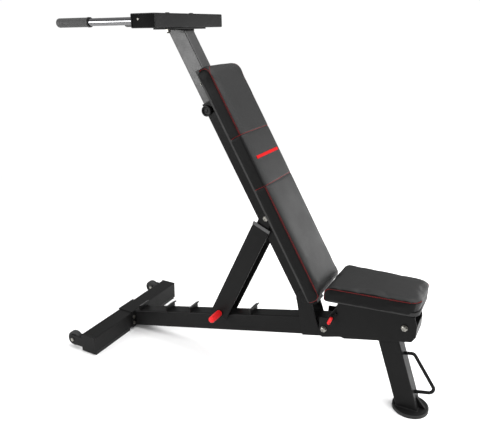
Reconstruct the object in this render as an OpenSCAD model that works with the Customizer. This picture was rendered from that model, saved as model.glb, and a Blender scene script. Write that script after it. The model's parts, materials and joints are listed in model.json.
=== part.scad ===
// Adjustable weight bench: a sloping spine on a rear crossbeam and a front leg,
// a level seat, and a backrest held up by a hinged support arm.
// X runs from the wheels to the seat, Y across the bench, Z up.

/* [Rear foot] */
// Length of the rear crossbeam across the bench
beam_len = 550; // [460:10:680]
// Width of the crossbeam along the bench
beam_w = 68; // [50:2:80]
// Height of the crossbeam tube
beam_h = 70; // [50:2:84]
// Thickness of the rubber strips under the crossbeam
strip_h = 10; // [4:1:16]
// Diameter of the two transport wheels
wheel_d = 60; // [44:2:70]
// Width of each wheel
wheel_w = 24; // [16:1:36]

/* [Spine] */
// Width of the spine tube across the bench
spine_w = 60; // [50:1:66]
// Height of the spine tube, square to its length
spine_h = 70; // [50:1:84]
// Upward slope of the spine, in degrees
spine_rise = 13.2; // [10:0.2:15]
// Wall of the frame tubes and plates
wall = 3; // [2:0.5:4]
// Number of catches on the spine
catch_count = 5; // [3:1:5]
// Height of a catch above the spine
catch_h = 22; // [14:1:26]

/* [Backrest] */
// Distance of the backrest hinge from the crossbeam
hinge_x = 805; // [740:5:900]
// Height of the backrest hinge above the floor
hinge_z = 340; // [320:2:380]
// Backrest angle above horizontal, as it stands
back_angle = 59.4; // [45:0.2:66]
// Outside of the backrest tube
tube_w = 68; // [64:1:72]
// Length of the backrest tube from the hinge
tube_len = 763; // [700:5:860]
// Length of the backrest pad
pad_len = 878; // [820:2:890]
// Width of the pads
pad_w = 228; // [200:2:320]
// Thickness of the pads, with the boards let into their backs
pad_t = 55; // [40:1:66]
// Thickness of the boards under the pads
board_t = 12; // [9:1:18]

/* [Extension post] */
// Outside of the post that slides in the backrest tube
post_w = 60; // [54:0.5:60]
// Length of post in view above the backrest tube
post_out = 272; // [220:2:340]
// Spacing of the holes for the pull pin
hole_step = 97; // [60:1:100]
// Length of the cross tube at the top
cross_len = 421; // [340:1:560]
// Width of the cross tube along the bench
cross_w = 95; // [70:1:110]
// Height of the cross tube
cross_h = 45; // [36:1:60]
// Diameter of the two chrome handle bars
bar_d = 25; // [20:1:30]
// Length of a handle bar behind the cross tube
bar_len = 334; // [260:2:400]
// Length of the rubber grip on a handle bar
grip_len = 140; // [100:5:180]

/* [Support arm] */
// Distance along the backrest from its hinge to the arm pivot
arm_at = 316; // [280:2:340]
// Length of the arm from its pivot to its foot bar
arm_len = 458; // [440:2:470]
// Lean of the arm from horizontal, as it stands
arm_angle = 66.4; // [60:0.2:72]
// Width of the arm across the bench
arm_w = 84; // [82:1:96]
// Depth of the arm's side walls
arm_depth = 69; // [56:1:76]

/* [Seat] */
// Length of the seat pad
seat_len = 320; // [260:2:340]
// Width of the seat at its front end
seat_front_w = 196; // [150:2:220]
// Height of the seat top at its rear end
seat_top = 440; // [436:1:470]
// Rise of the seat towards its front, in degrees
seat_rise = 1.9; // [0:0.1:3]
// Distance of the seat pivot from the crossbeam
seat_pivot_x = 1155; // [1140:1:1170]
// Height of the seat pivot above the floor
seat_pivot_z = 328; // [322:1:334]

/* [Front leg] */
// Lean of the front leg from upright, in degrees
leg_lean = 19.7; // [14:0.1:22]
// Width of the leg seen from the side
leg_w = 70; // [56:1:76]
// Diameter of the round foot
foot_d = 123; // [110:1:150]
// Diameter of the rod of the lift handle
rod_d = 12; // [8:1:14]

/* [Hidden] */

$fn = 64;
hull_fn = 32;
// Gap between parts that move past each other, and a running fit on a pin
clear = 1;
run_fit = 0.05;
// A small gap that keeps the faces of soft pads off their neighbours
soft_gap = 0.5;
bolt_d = 10;
head_d = 17;
head_t = 6;
nut_t = 8;

// Rear foot
beam_top = strip_h + beam_h;
plate_t = 5;
strip_len = 216;
wheel_x = -beam_w / 2 - wheel_d / 2 - 18;
wheel_z = strip_h + wheel_d / 2 + 1;
axle_d = 8;

// Spine, measured along its own top edge from the saddle
saddle_t = 4;
saddle_half = 48;
saddle_bolt_z = [beam_top - 22, strip_h + 20];
spine_x0 = beam_w / 2 + saddle_t;
spine_z0 = beam_top + saddle_t;
spine_end_x = seat_pivot_x + 12;
spine_len = (spine_end_x - spine_x0) / cos(spine_rise);
catch_at = [28, 168, 284, 408, 562];
catch_t = 5;

// Backrest, measured from its hinge: x up along the tube, z towards the pad
back_half = tube_w / 2;
pad_base = back_half + 8;
pad_low = -7;
pad_round = 28;
pad_corner = 26;
crossbar_at = [70, 690];
hinge_d = 16;
tower_gap = 2;
tower_in = back_half + tower_gap;
tower_t = 5;
tower_r = 33;

// Post and pull pin
sleeve_gap = 0.1;
sleeve_in = post_w / 2 + sleeve_gap;
sleeve_grip = 70;
post_in = 262;
post_len = post_in + post_out;
pin_at = tube_len - 28;
pin_d = 10;
pin_gap = 0.4;
post_top = tube_len + post_out;
cross_tilt = 2.1;
top_plate_t = 5;
top_plate_len = 196;
bar_y = cross_len / 2 - 26;
grip_d = 31;
plate_bolt_y = 74;
cap_in = 2;

// Arm
arm_wall = 3;
arm_top = 34;
web_top = 132;
ear_in = back_half + 1;
ear_t = arm_w / 2 - arm_wall - ear_in;
foot_bar_d = 16;
foot_grip_d = 25;
foot_grip_len = 68;
arm_foot_end = 12;
web_low = 16;

// Seat
house_in = 46;
house_rear = 866;
house_front = 1193;
housing_bolt_x = 884;
housing_bolt_z = 247;
house_t = 3;
rail_out = house_in - 1;
rail_t = 4;
strut_t = 6;
seat_rear = 887;
seat_base = board_t - pad_t;
seat_corner = 38;
seat_crown = 4;
clamp_x = 910;
clamp_z = 297;
clamp_d = 12;
clamp_grip_d = 12;
clamp_grip_len = 20;
clamp_neck_d = 7;
seat_swing = 10;

// Front leg
foot_t = 8;
pad_foot_t = 5;
leg_foot_x = 1191;
leg_foot_z = pad_foot_t + foot_t;
leg_t = 60;
handle_low = 68;
handle_high = 206;
handle_out = 60;

// The origin stands on the floor under the middle of the bench
top_x = hinge_x - post_top * cos(back_angle);
top_z = hinge_z + post_top * sin(back_angle);
arm_x = hinge_x - arm_at * cos(back_angle);
arm_z = hinge_z + arm_at * sin(back_angle);
bar_z = top_plate_t + cross_h / 2;
grip_tip_x = top_x - (cross_w / 2 + bar_len) * cos(cross_tilt) - (bar_z + grip_d / 2 - 4) * sin(cross_tilt);
rear_x = min(grip_tip_x, wheel_x - wheel_d / 2);
front_x = max(leg_edge(handle_low) + handle_out + rod_d / 2, leg_foot_x + 8 + foot_d / 2);
origin_x = (rear_x + front_x) / 2;

module bench() { translate([-origin_x, 0, 0]) children(); }
module on_spine() { bench() translate([spine_x0, 0, spine_z0]) rotate([0, -spine_rise, 0]) children(); }
// Along the backrest: x runs up the tube from the hinge, z out towards the pad
module on_back() {
  bench() translate([hinge_x, 0, hinge_z]) rotate([0, back_angle - 180, 0]) mirror([0, 0, 1]) children();
}
// Top of the post, levelled so that the cross tube sits nearly flat
module on_top() { bench() translate([top_x, 0, top_z]) rotate([0, -cross_tilt, 0]) children(); }
// Down the arm: x runs from the pivot to the foot, z towards the seat
module on_arm() { bench() translate([arm_x, 0, arm_z]) rotate([0, 180 - arm_angle, 0]) children(); }
module on_seat() {
  bench() translate([seat_rear, 0, seat_top]) rotate([0, -seat_rise, 0]) children();
}
// A round rod or bore along Y, centred on the given x and z
module rod_y(x, z, d, y0, y1) { translate([x, y0, z]) rotate([-90, 0, 0]) cylinder(d = d, h = y1 - y0); }
module hex_y(x, z, af, y0, y1) {
  translate([x, y0, z]) rotate([-90, 0, 0]) cylinder(d = af / cos(30), h = y1 - y0, $fn = 6);
}
module both_sides() {
  children();
  mirror([0, 1, 0]) children();
}
// Square tube along X with rounded edges, centred on the axis
module tube_x(len, y, z, t, r = 6) {
  rotate([90, 0, 90]) linear_extrude(len) difference() {
    tube_outline(y, z, r);
    tube_outline(y - 2 * t, z - 2 * t, max(r - t, 1));
  }
}
module tube_outline(x, y, r) {
  union() {
    square([x - 2 * r, y], center = true);
    square([x, y - 2 * r], center = true);
    for (i = [-1, 1], j = [-1, 1]) translate([i * (x / 2 - r), j * (y / 2 - r)]) circle(r = r);
  }
}

// ---- Rear foot ----
module rear_crossbeam() {
  color("#1c1c1e") bench() translate([0, -beam_len / 2, strip_h + beam_h / 2]) rotate([0, 0, 90])
    tube_x(beam_len, beam_w, beam_h, wall);
}
module wheel_plates() {
  color("#202022") bench() both_sides() difference() {
    translate([0, beam_len / 2 + plate_t, 0]) rotate([90, 0, 0]) linear_extrude(plate_t) union() {
      translate([wheel_x, wheel_z - 20]) square([beam_w / 2 - wheel_x, 40]);
      translate([-beam_w / 2, 6]) square([beam_w, beam_top - 6]);
      translate([wheel_x, wheel_z]) circle(r = 20);
    }
    rod_y(wheel_x, wheel_z, axle_d, beam_len / 2 - 1, beam_len / 2 + plate_t + 1);
  }
}
module floor_strips() {
  color("#141414") bench() both_sides() translate([-beam_w / 2 + 2, beam_len / 2 - strip_len, 0])
    cube([beam_w - 4, strip_len - 1, strip_h]);
}
module wheel() {
  difference() {
    rotate([-90, 0, 0]) translate([0, 0, -wheel_w]) union() {
      translate([0, 0, 2]) cylinder(d = wheel_d, h = wheel_w - 4);
      cylinder(d = wheel_d - 6, h = wheel_w);
    }
    rod_y(0, 0, axle_d + 2 * run_fit, -wheel_w - 1, 1);
  }
}
module wheel_near() {
  color("#26262a") bench() translate([wheel_x, -beam_len / 2 + clear, wheel_z]) mirror([0, 1, 0]) wheel();
}
module wheel_far() {
  color("#26262a") bench() translate([wheel_x, beam_len / 2 - clear, wheel_z]) wheel();
}
module wheel_axles() {
  color("#9a9a9c") bench() both_sides() union() {
    rod_y(wheel_x, wheel_z, axle_d, beam_len / 2 - wheel_w - clear - 2, beam_len / 2 + plate_t);
    rod_y(wheel_x, wheel_z, 14, beam_len / 2 + plate_t, beam_len / 2 + plate_t + 4);
    rod_y(wheel_x, wheel_z, 14, beam_len / 2 - wheel_w - clear - 5, beam_len / 2 - wheel_w - clear - 1);
  }
}

// ---- Spine ----
module spine_tube() {
  color("#1e1e20") difference() {
    bench() intersection() {
      translate([spine_x0, 0, spine_z0]) rotate([0, -spine_rise, 0]) translate([-60, 0, -spine_h / 2])
        tube_x(spine_len + 60, spine_w, spine_h, wall);
      translate([spine_x0, -100, 0]) cube([2000, 200, 900]);
    }
    bench() rod_y(housing_bolt_x, housing_bolt_z, bolt_d, -100, 100);
    bench() rod_y(seat_pivot_x, seat_pivot_z, bolt_d, -100, 100);
  }
}
module saddle_bracket() {
  color("#222224") bench() difference() {
    union() {
      translate([-beam_w / 2, -saddle_half, beam_top]) cube([beam_w + saddle_t, 2 * saddle_half, saddle_t]);
      translate([beam_w / 2, -saddle_half, strip_h]) cube([saddle_t, 2 * saddle_half, beam_h]);
    }
    for (y = [-39, 39], z = saddle_bolt_z) translate([0, y, z]) rotate([0, 90, 0]) cylinder(d = 8, h = 60);
  }
}
module saddle_bolts() {
  color("#a8a8a8") bench() for (y = [-39, 39], z = saddle_bolt_z) translate([beam_w / 2, y, z])
    rotate([0, 90, 0]) union() {
      cylinder(d = 8, h = saddle_t);
      translate([0, 0, saddle_t]) cylinder(d = 13 / cos(30), h = 5, $fn = 6);
      translate([0, 0, saddle_t + 5]) cylinder(d = 8, h = 2);
    }
}
// A catch is an upright across the spine with a lip that leans towards the seat
module spine_catches() {
  color("#2a2a2c") on_spine() for (i = [0:catch_count - 1]) translate([catch_at[i], 0, 0])
    rotate([90, 0, 0]) translate([0, 0, -spine_w / 2]) linear_extrude(spine_w) polygon([
      [0, 0], [catch_t, 0], [catch_t + 2, catch_h - 6], [catch_t + 12, catch_h - 2],
      [catch_t + 10, catch_h + 2], [0, catch_h - 2]
    ]);
}
// Two uprights that carry the backrest hinge and straddle the spine
module tower_plates() {
  color("#1c1c1e") bench() both_sides() difference() {
    translate([0, tower_in + tower_t, 0]) rotate([90, 0, 0]) linear_extrude(tower_t) union() {
      translate([hinge_x, hinge_z]) circle(r = tower_r);
      polygon([
        [hinge_x - tower_r, hinge_z], [hinge_x + tower_r - 6, hinge_z - 18],
        [hinge_x + tower_r + 34, spine_line(hinge_x + tower_r + 34) + 4],
        [hinge_x - 2, spine_line(hinge_x - 2) + 4]
      ]);
    }
    rod_y(hinge_x, hinge_z, hinge_d, tower_in - 1, tower_in + tower_t + 1);
  }
  color("#1c1c1e") bench() both_sides() translate([0, tower_in, 0]) rotate([90, 0, 0])
    linear_extrude(tower_in - spine_w / 2) polygon([
      [hinge_x - 2, spine_line(hinge_x - 2) + 14], [hinge_x + 52, spine_line(hinge_x + 52) + 14],
      [hinge_x + 52, spine_line(hinge_x + 52) + 56], [hinge_x - 2, spine_line(hinge_x - 2) + 56]
    ]);
}
// Height of the spine's lower edge at a distance from the crossbeam
function spine_line(x) = spine_z0 + (x - spine_x0) * tan(spine_rise) - spine_h / cos(spine_rise);
module hinge_bushes() {
  color("#0f0f10") bench() both_sides() difference() {
    rod_y(hinge_x, hinge_z, hinge_d + 8, back_half - 12, back_half + tower_gap - 0.3);
    rod_y(hinge_x, hinge_z, hinge_d + 2 * run_fit, back_half - 13, back_half + tower_gap);
  }
}
module hinge_bolt() {
  color("#b0b0b0") bench() union() {
    rod_y(hinge_x, hinge_z, hinge_d, -tower_in - tower_t, tower_in + tower_t + 10);
    rod_y(hinge_x, hinge_z, 26, -tower_in - tower_t - 3, -tower_in - tower_t);
  }
}
module hinge_nut() {
  color("#b0b0b0") bench() difference() {
    hex_y(hinge_x, hinge_z, 24, tower_in + tower_t, tower_in + tower_t + 10);
    rod_y(hinge_x, hinge_z, hinge_d, tower_in + tower_t - 1, tower_in + tower_t + 11);
  }
}

// ---- Seat housing and front leg ----
module house_side() {
  polygon([
    [945, spine_line(945) + 8], [958, spine_line(958) + 2],
    [house_front - 12, spine_line(house_front - 12) + 2], [house_front, spine_line(house_front) + 18],
    [house_front, seat_pivot_z + 10], [house_front - 10, seat_pivot_z + 44],
    [clamp_x + 40, seat_pivot_z + 50], [clamp_x + 16, seat_pivot_z + 40], [clamp_x + 16, clamp_z + 14],
    [clamp_x - 10, clamp_z + 10], [clamp_x - 16, clamp_z - 5], [house_rear, clamp_z - 8],
    [house_rear, spine_line(house_rear) + 14], [house_rear + 14, spine_line(house_rear + 14) + 4]
  ]);
}
module seat_housing() {
  color("#1a1a1c") bench() difference() {
    union() {
      both_sides() translate([0, house_in + house_t, 0]) rotate([90, 0, 0])
        linear_extrude(house_t) house_side();
      translate([house_front - house_t, -house_in - 1, spine_line(house_front) + 18])
        cube([house_t, 2 * house_in + 2, seat_pivot_z - 6 - spine_line(house_front)]);
      both_sides() translate([0, house_in, 0]) rotate([90, 0, 0])
        linear_extrude(house_in - spine_w / 2) polygon([
          [980, spine_line(980) + 10], [1080, spine_line(1080) + 10],
          [1080, spine_line(1080) + 50], [980, spine_line(980) + 50]
        ]);
    }
    rod_y(seat_pivot_x, seat_pivot_z, bolt_d, -100, 100);
    rod_y(housing_bolt_x, housing_bolt_z, bolt_d, -100, 100);
    rod_y(clamp_x, clamp_z, clamp_d + 2 * run_fit, -100, 100);
  }
}
module housing_bolt() {
  color("#b4b4b4") bench() union() {
    rod_y(housing_bolt_x, housing_bolt_z, bolt_d, -house_in - house_t, house_in + house_t + 9);
    rod_y(housing_bolt_x, housing_bolt_z, head_d + 4, -house_in - house_t - 2, -house_in - house_t);
    hex_y(housing_bolt_x, housing_bolt_z, head_d, -house_in - house_t - 2 - head_t, -house_in - house_t - 2);
  }
}
module housing_nut() {
  color("#b4b4b4") bench() difference() {
    hex_y(housing_bolt_x, housing_bolt_z, head_d, house_in + house_t, house_in + house_t + nut_t);
    rod_y(housing_bolt_x, housing_bolt_z, bolt_d, house_in, house_in + house_t + nut_t + 1);
  }
}
// Frame of the leg: z runs up the leg from the middle of its foot
module on_leg() { bench() translate([leg_foot_x, 0, leg_foot_z]) rotate([0, -leg_lean, 0]) children(); }
module front_leg() {
  color("#1e1e20") difference() {
    on_leg() translate([0, 0, -40]) rotate([0, -90, 0]) rotate([0, 0, 0]) tube_x(420, leg_t, leg_w, wall);
    bench() translate([1000, -100, -100]) cube([400, 200, 100 + leg_foot_z]);
    on_spine() translate([-100, -100, -spine_h]) cube([spine_len + 400, 200, 500]);
  }
}
module leg_gusset() {
  color("#1e1e20") bench() translate([0, 4, 0]) rotate([90, 0, 0]) linear_extrude(8) polygon([
    [leg_edge(leg_foot_z), leg_foot_z], [leg_edge(leg_foot_z) + 22, leg_foot_z],
    [leg_edge(leg_foot_z + 44), leg_foot_z + 44]
  ]);
}
// The front edge of the leg at a height
function leg_edge(z) = leg_foot_x + leg_w / 2 / cos(leg_lean) - (z - leg_foot_z) * tan(leg_lean);
// Bent rod: two short stubs into the leg and a straight grip between them
module lift_handle() {
  points = [
    [leg_edge(handle_high), handle_high], [leg_edge(handle_high) + 30, handle_high + 8],
    [leg_edge(handle_low) + handle_out, handle_low + 32],
    [leg_edge(handle_low) + handle_out - 8, handle_low + 14],
    [leg_edge(handle_low), handle_low]
  ];
  color("#151516") difference() {
    bench() for (i = [0:3]) hull() for (p = [points[i], points[i + 1]])
      translate([p[0], 0, p[1]]) sphere(d = rod_d, $fn = 24);
    on_leg() translate([-leg_w, -50, -100]) cube([leg_w * 1.5, 100, 600]);
  }
}
module foot_plate() {
  color("#1c1c1e") bench() translate([leg_foot_x + 8, 0, pad_foot_t]) cylinder(d = foot_d - 8, h = foot_t);
}
module foot_rubber() {
  color("#101010") bench() translate([leg_foot_x + 8, 0, 0]) difference() {
    cylinder(d = foot_d, h = pad_foot_t + foot_t - 2);
    translate([0, 0, pad_foot_t]) cylinder(d = foot_d - 8, h = foot_t);
  }
}

// ---- Backrest ----
module backrest_tube() {
  color("#202022") on_back() difference() {
    translate([-30, 0, 0]) tube_x(tube_len + 30, tube_w, tube_w, wall, 5);
    rod_y(0, 0, hinge_d + 8, -60, 60);
    rod_y(arm_at, 0, bolt_d + 2, -60, 60);
    rod_y(pin_at, 0, pin_d + 2, -60, 0);
  }
}
module tube_sleeve() {
  color("#0c0c0d") on_back() difference() {
    union() {
      translate([tube_len - sleeve_grip, 0, 0])
        tube_x(sleeve_grip, tube_w - 2 * wall, tube_w - 2 * wall, back_half - wall - sleeve_in, 2);
      translate([tube_len, 0, 0]) tube_x(5, tube_w + 2, tube_w + 2, tube_w / 2 + 1 - sleeve_in, 5);
    }
    rod_y(pin_at, 0, pin_d + 2, -60, 0);
  }
}
module pad_crossbars() {
  color("#232325") on_back() for (x = [crossbar_at[0], crossbar_at[1]]) translate([x, -80, back_half])
    cube([30, 160, pad_base - back_half]);
}
module backrest_board() {
  color("#18181a") on_back() translate([pad_low + 10, -pad_w / 2 + 8, pad_base])
    cube([pad_len - 20, pad_w - 16, board_t]);
}
// The pad folds round the board: its side skirt comes down to the board's back
module backrest_pad() {
  color("#2c2c2e") on_back() difference() {
    intersection() {
      hull() {
        for (x = [pad_low + pad_round, pad_low + pad_len - pad_round]) rod_x_round(x);
        translate([pad_low, -pad_w / 2, pad_base + soft_gap]) cube([pad_len, pad_w, 8]);
      }
      translate([pad_low, 0, pad_base]) linear_extrude(pad_t) pad_outline();
    }
    translate([pad_low + 10 - soft_gap, -pad_w / 2 + 8 - soft_gap, pad_base - 1])
      cube([pad_len - 20 + 2 * soft_gap, pad_w - 16 + 2 * soft_gap, board_t + 1]);
  }
}
// The backrest pad seen from in front, with rounded corners at its top
module pad_outline() {
  hull() {
    for (y = [-1, 1]) translate([pad_len - pad_corner, y * (pad_w / 2 - pad_corner)])
      circle(r = pad_corner, $fn = hull_fn);
    translate([0, -pad_w / 2]) square([pad_corner, pad_w]);
  }
}
module rod_x_round(x) {
  translate([x, -pad_w / 2, pad_base + pad_t - pad_round]) rotate([-90, 0, 0])
    cylinder(r = pad_round, h = pad_w, $fn = hull_fn);
}
module pad_screws() {
  color("#a0a0a0") on_back() for (x = [crossbar_at[0] + 15, crossbar_at[1] + 15], y = [-60, 60])
    translate([x, y, back_half - 5]) cylinder(d = 12, h = 5);
}
module pin_housing() {
  color("#1a1a1c") on_back() difference() {
    rod_y(pin_at, 0, 22, -back_half - 22, -back_half);
    rod_y(pin_at, 0, 15, -back_half - 18, -back_half + 1);
    rod_y(pin_at, 0, pin_d + 2 * run_fit, -back_half - 30, -back_half + 1);
  }
}
module pin_spring() {
  color("#8a8a8c") on_back() difference() {
    rod_y(pin_at, 0, 14, -back_half - 17, -back_half - 6);
    rod_y(pin_at, 0, pin_d + 1, -back_half - 30, -back_half + 1);
  }
}
module pin_plunger() {
  color("#b8b8ba") on_back() union() {
    rod_y(pin_at, 0, pin_d, -back_half - 26, -post_w / 2 - pin_gap);
    rod_y(pin_at, 0, 14, -back_half - 5, -back_half - 1);
  }
}
module pin_knob() {
  color("#141414") on_back() difference() {
    union() {
      rod_y(pin_at, 0, 26, -back_half - 34, -back_half - 24);
      rod_y(pin_at, 0, 38, -back_half - 52, -back_half - 34);
    }
    rod_y(pin_at, 0, pin_d, -back_half - 26, -back_half);
  }
}

// ---- Extension post and handle bars ----
module extension_post() {
  color("#6a6a6c") difference() {
    on_back() translate([tube_len - post_in, 0, 0]) tube_x(post_len + 60, post_w, post_w, wall, 4);
    on_back() for (i = [-1:1]) rod_y(pin_at + i * hole_step, 0, pin_d + 0.6, -60, 0);
    on_top() translate([-200, -100, 0]) cube([400, 200, 200]);
  }
}
module post_end_cap() {
  color("#101011") on_back() translate([tube_len - post_in - 3, -post_w / 2, -post_w / 2])
    cube([3, post_w, post_w]);
}
module top_plate() {
  color("#242426") on_top() difference() {
    translate([-cross_w / 2 + 4, -top_plate_len / 2, 0]) cube([cross_w - 8, top_plate_len, top_plate_t]);
    for (y = [-plate_bolt_y, plate_bolt_y]) translate([0, y, -1]) cylinder(d = 10, h = top_plate_t + 2);
  }
}
module cross_tube() {
  color("#1c1c1e") on_top() difference() {
    translate([0, -cross_len / 2, bar_z]) rotate([0, 0, 90]) tube_x(cross_len, cross_w, cross_h, wall, 4);
    for (y = [-plate_bolt_y, plate_bolt_y]) translate([0, y, 0]) cylinder(d = 10, h = 100);
    for (y = [-bar_y, bar_y]) translate([-cross_w, y, bar_z]) rotate([0, 90, 0])
      cylinder(d = bar_d, h = cross_w * 1.5 - 5);
  }
}
module cross_tube_caps() {
  color("#0e0e0f") on_top() both_sides() translate([0, cross_len / 2 - cap_in - 10, bar_z])
    rotate([0, 0, 90]) rotate([90, 0, 90]) linear_extrude(10)
      tube_outline(cross_w - 2 * wall, cross_h - 2 * wall, 2);
}
module handle_bars() {
  color("#d8d8da") on_top() for (y = [-bar_y, bar_y]) translate([-cross_w / 2 - bar_len + 3, y, bar_z])
    rotate([0, 90, 0]) cylinder(d = bar_d, h = bar_len - 3 + cross_w - 5);
}
module bar_grips() {
  color("#303032") on_top() for (y = [-bar_y, bar_y]) translate([-cross_w / 2 - bar_len, y, bar_z])
    rotate([0, 90, 0]) difference() {
      union() {
        translate([0, 0, 4]) cylinder(d = grip_d, h = grip_len - 4);
        cylinder(d1 = grip_d - 8, d2 = grip_d, h = 4);
      }
      translate([0, 0, 3]) cylinder(d = bar_d, h = grip_len);
    }
}
module grip_collars() {
  color("#9c9c9e") on_top() for (y = [-bar_y, bar_y])
    translate([-cross_w / 2 - bar_len + grip_len, y, bar_z]) rotate([0, 90, 0]) difference() {
      cylinder(d = grip_d + 1.5, h = 5);
      translate([0, 0, -1]) cylinder(d = bar_d, h = 7);
    }
}
module plate_bolts() {
  color("#1a1a1b") on_top() for (y = [-plate_bolt_y, plate_bolt_y]) translate([0, y, -12]) union() {
    cylinder(d = 10, h = cross_h + top_plate_t + 12);
    translate([0, 0, cross_h + top_plate_t + 12]) cylinder(d1 = 20, d2 = 12, h = 4);
  }
}
module plate_nuts() {
  color("#909092") on_top() for (y = [-plate_bolt_y, plate_bolt_y]) translate([0, y, -nut_t]) difference() {
    cylinder(d = head_d / cos(30), h = nut_t, $fn = 6);
    translate([0, 0, -1]) cylinder(d = 10, h = nut_t + 2);
  }
}

// ---- Support arm ----
module arm_channel() {
  color("#1c1c1e") on_arm() difference() {
    translate([arm_top, -arm_w / 2, -arm_depth / 2])
      cube([arm_len + arm_foot_end - arm_top, arm_w, arm_depth]);
    translate([arm_top - 1, -arm_w / 2 + arm_wall, -arm_depth / 2 + arm_wall])
      cube([arm_len + 100, arm_w - 2 * arm_wall, arm_depth]);
    for (x = [web_top - 200, arm_len - web_low]) translate([x, -arm_w / 2 + arm_wall, -arm_depth])
      cube([200, arm_w - 2 * arm_wall, 2 * arm_depth]);
    rod_y(arm_len, 0, foot_bar_d, -100, 100);
  }
}
module arm_band() {
  color("#5a5a5a") on_arm() both_sides() translate([arm_top - 2, arm_w / 2, -arm_depth / 2 - 1])
    cube([12, 3, arm_depth + 2]);
}
module arm_ears() {
  color("#1a1a1c") on_arm() both_sides() difference() {
    translate([0, ear_in + ear_t, 0]) rotate([90, 0, 0]) linear_extrude(ear_t) union() {
      circle(r = 24);
      translate([0, -24]) square([arm_top + 30, 48]);
    }
    rod_y(0, 0, bolt_d, 0, 100);
  }
}
module arm_pivot_bolt() {
  color("#c0c0c0") on_arm() union() {
    rod_y(0, 0, bolt_d, -ear_in - ear_t, ear_in + ear_t + 9);
    hex_y(0, 0, head_d, -ear_in - ear_t - head_t, -ear_in - ear_t);
  }
}
module arm_pivot_nut() {
  color("#c0c0c0") on_arm() difference() {
    hex_y(0, 0, head_d, ear_in + ear_t, ear_in + ear_t + nut_t);
    rod_y(0, 0, bolt_d, 0, 100);
  }
}
module arm_bars() {
  color("#1a1a1c") on_arm() both_sides()
    rod_y(arm_len, 0, foot_bar_d, arm_w / 2 - arm_wall - 3, arm_w / 2 + foot_grip_len - 6);
}
module arm_grips() {
  color("#e01818") on_arm() both_sides() difference() {
    union() {
      rod_y(arm_len, 0, foot_grip_d, arm_w / 2 + 1, arm_w / 2 + foot_grip_len - 8);
      translate([arm_len, arm_w / 2 + foot_grip_len - 8, 0]) rotate([-90, 0, 0])
        cylinder(d1 = foot_grip_d, d2 = foot_grip_d - 10, h = 8);
    }
    rod_y(arm_len, 0, foot_bar_d, 0, arm_w / 2 + foot_grip_len - 6);
  }
}

// ---- Seat ----
module seat_rails() {
  color("#1c1c1e") difference() {
    union() {
      on_seat() both_sides() translate([50, rail_out - rail_t, seat_base - board_t - 26])
        cube([seat_len - 76, rail_t, 26]);
      on_seat() translate([80, -rail_out, seat_base - board_t - 4]) cube([30, 2 * rail_out, 4]);
      on_seat() translate([200, -rail_out, seat_base - board_t - 4]) cube([30, 2 * rail_out, 4]);
      bench() both_sides() translate([0, rail_out, 0]) rotate([90, 0, 0]) linear_extrude(rail_t) union() {
        translate([seat_pivot_x, seat_pivot_z]) circle(r = 18);
        translate([seat_pivot_x - 18, seat_pivot_z]) square([36, 44]);
      }
    }
    bench() rod_y(seat_pivot_x, seat_pivot_z, bolt_d + 2 * run_fit, -100, 100);
  }
}
// The clamp rod's place in the strut after the seat's rear has risen by an angle
function slot_end(a) = [
  seat_pivot_x + (clamp_x - seat_pivot_x) * cos(a) - (clamp_z - seat_pivot_z) * sin(a),
  seat_pivot_z + (clamp_z - seat_pivot_z) * cos(a) + (clamp_x - seat_pivot_x) * sin(a) * 1
];
module seat_strut() {
  low = slot_end(seat_swing);
  turn = atan2(clamp_x - low[0], clamp_z - low[1]);
  slot_w = clamp_d + 5;
  color("#17171a") bench() difference() {
    both_sides() translate([0, rail_out - rail_t, 0]) rotate([90, 0, 0]) linear_extrude(strut_t) union() {
      polygon([
        [low[0] - 15, low[1] - 14], [low[0] + 15, low[1] - 14], [clamp_x + 15, clamp_z],
        [clamp_x + 50, seat_top - pad_t - 20], [clamp_x + 78, seat_top - pad_t - 20],
        [clamp_x + 78, seat_top - pad_t - 2], [clamp_x + 40, seat_top - pad_t - 3], [clamp_x - 15, clamp_z]
      ]);
    }
    rod_y(clamp_x, clamp_z + 1, slot_w, -100, 100);
    rod_y(low[0], low[1], slot_w, -100, 100);
    translate([low[0], -100, low[1]]) rotate([0, turn, 0]) translate([-slot_w / 2, 0, 0])
      cube([slot_w, 200, norm([clamp_x - low[0], clamp_z - low[1]])]);
  }
}
module seat_outline(inset) {
  hull() {
    translate([inset, -pad_w / 2 + inset]) square([10, pad_w - 2 * inset]);
    for (s = [-1, 1]) translate([seat_len - seat_corner, s * (seat_front_w / 2 - seat_corner)])
      circle(r = seat_corner - inset, $fn = hull_fn);
  }
}
module seat_board() {
  color("#161618") on_seat() translate([0, 0, seat_base - board_t]) linear_extrude(board_t) seat_outline(10);
}
module seat_pad() {
  color("#2c2c2e") on_seat() difference() {
    hull() {
      translate([0, 0, seat_base - board_t + soft_gap]) linear_extrude(10) seat_outline(6);
      translate([0, 0, seat_base + 20]) linear_extrude(8) seat_outline(0);
      translate([0, 0, -4]) linear_extrude(4) seat_outline(10);
      translate([seat_len * 0.3, -80, 0]) cube([seat_len * 0.45, 160, seat_crown]);
    }
    translate([0, 0, seat_base - board_t - 1]) linear_extrude(board_t + 1 + soft_gap)
      seat_outline(10 - soft_gap);
  }
}
module seat_screws() {
  color("#a0a0a0") on_seat() for (x = [95, 215], y = [-24, 24])
    translate([x, y, seat_base - board_t - 9]) cylinder(d = 12, h = 5);
}
module seat_bolt() {
  color("#b4b4b4") bench() union() {
    rod_y(seat_pivot_x, seat_pivot_z, bolt_d, -house_in - house_t, house_in + house_t + 9);
    rod_y(seat_pivot_x, seat_pivot_z, head_d + 4, -house_in - house_t - 2, -house_in - house_t);
    hex_y(seat_pivot_x, seat_pivot_z, head_d, -house_in - house_t - 2 - head_t, -house_in - house_t - 2);
  }
}
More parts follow.
